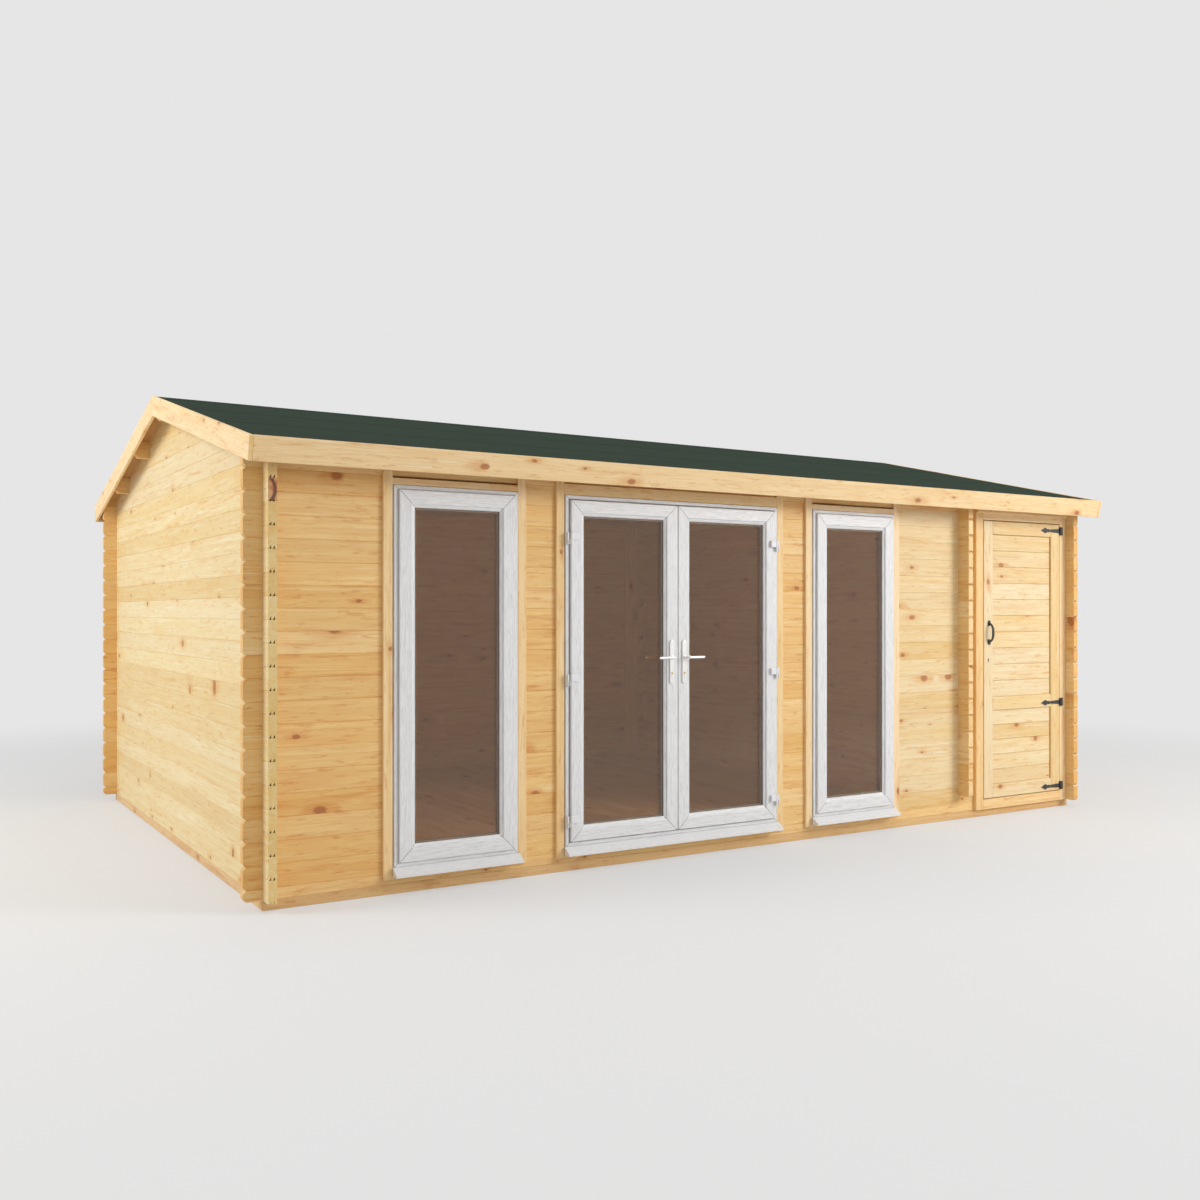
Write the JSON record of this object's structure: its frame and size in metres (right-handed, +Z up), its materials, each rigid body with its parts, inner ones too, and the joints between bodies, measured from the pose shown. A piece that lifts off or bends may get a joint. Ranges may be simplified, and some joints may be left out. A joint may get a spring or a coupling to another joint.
{
  "type": "log cabin",
  "caption": "Pitched-roof log cabin with crossed log corners, a glazed front with double doors and tall windows, and a side store with a boarded door.",
  "frame": {"origin": "on the ground under the middle of the roof", "axes": "+X along the front towards the store, +Y from the front to the rear, +Z up"},
  "size_m": [6.314, 4.47, 2.8111],
  "materials": {
    "base": "untreated sawn spruce",
    "floor": "untreated spruce boards",
    "wall_logs": "untreated planed spruce",
    "trim": "untreated planed spruce",
    "roof_boards": "untreated spruce boards",
    "roof_felt": "dark green mineral felt",
    "frame_white": "white wood-grained plastic",
    "glazing": "brown tinted glass",
    "lever": "satin",
    "store_door": "untreated planed spruce",
    "black_iron": "black powder coat",
    "hinge_white": "white powder coat"
  },
  "bodies": {
    "cabin": {"base_frame": "base", "floor_main": "floor", "floor_store": "floor", "wall_left": "wall_logs", "wall_right": "wall_logs", "wall_rear": "wall_logs", "partition": "wall_logs", "cover_board": "trim", "gable_left": "wall_logs", "gable_right": "wall_logs", "gable_partition": "wall_logs", "front_sill": "wall_logs", "front_left": "wall_logs", "front_pier_left": "wall_logs", "front_pier_right": "wall_logs", "front_right": "wall_logs", "front_head": "wall_logs", "ridge_purlin": "wall_logs", "purlins": "wall_logs", "roof_boards_front": "roof_boards", "roof_boards_rear": "roof_boards", "roof_felt": "roof_felt", "fascia_front": "trim", "fascia_rear": "trim", "barge_left": "trim", "barge_right": "trim", "window_left_frame": "frame_white", "window_right_frame": "frame_white", "window_glass": "glazing", "cills": "frame_white", "trims": "trim", "door_frame": "frame_white", "door_hinge_pins": "hinge_white", "store_frame": "trim"},
    "left_leaf": {"leaf_left": "frame_white", "leaf_left_glass": "glazing", "plates_left": "lever"},
    "right_leaf": {"leaf_right": "frame_white", "leaf_right_glass": "glazing", "plates_right": "lever"},
    "left_lever": {"lever_left": "lever"},
    "right_lever": {"lever_right": "lever"},
    "store_door": {"store_leaf": "store_door", "store_straps": "black_iron", "store_pull": "black_iron"}
  },
  "joints": [
    {"name": "left_leaf_hinge", "type": "hinge", "parent": "cabin", "child": "left_leaf", "pos_m": [-1.32225, -2.07, 1.1], "axis": [0, 0, -1], "range_deg": [0, 110]},
    {"name": "right_leaf_hinge", "type": "hinge", "parent": "cabin", "child": "right_leaf", "pos_m": [0.15825, -2.07, 1.1], "axis": [0, 0, 1], "range_deg": [0, 110]},
    {"name": "left_lever_turn", "type": "hinge", "parent": "left_leaf", "child": "left_lever", "pos_m": [-0.636, -2.06, 1.188], "axis": [0, -1, 0], "range_deg": [0, 40], "stiffness_Nm_per_rad": 2, "springref_deg": -17.19},
    {"name": "right_lever_turn", "type": "hinge", "parent": "right_leaf", "child": "right_lever", "pos_m": [-0.546, -2.06, 1.188], "axis": [0, 1, 0], "range_deg": [0, 40], "stiffness_Nm_per_rad": 2, "springref_deg": -17.19},
    {"name": "store_door_hinge", "type": "hinge", "parent": "cabin", "child": "store_door", "pos_m": [2.91625, -2.055, 1.1], "axis": [0, 0, 1], "range_deg": [0, 110]}
  ]
}
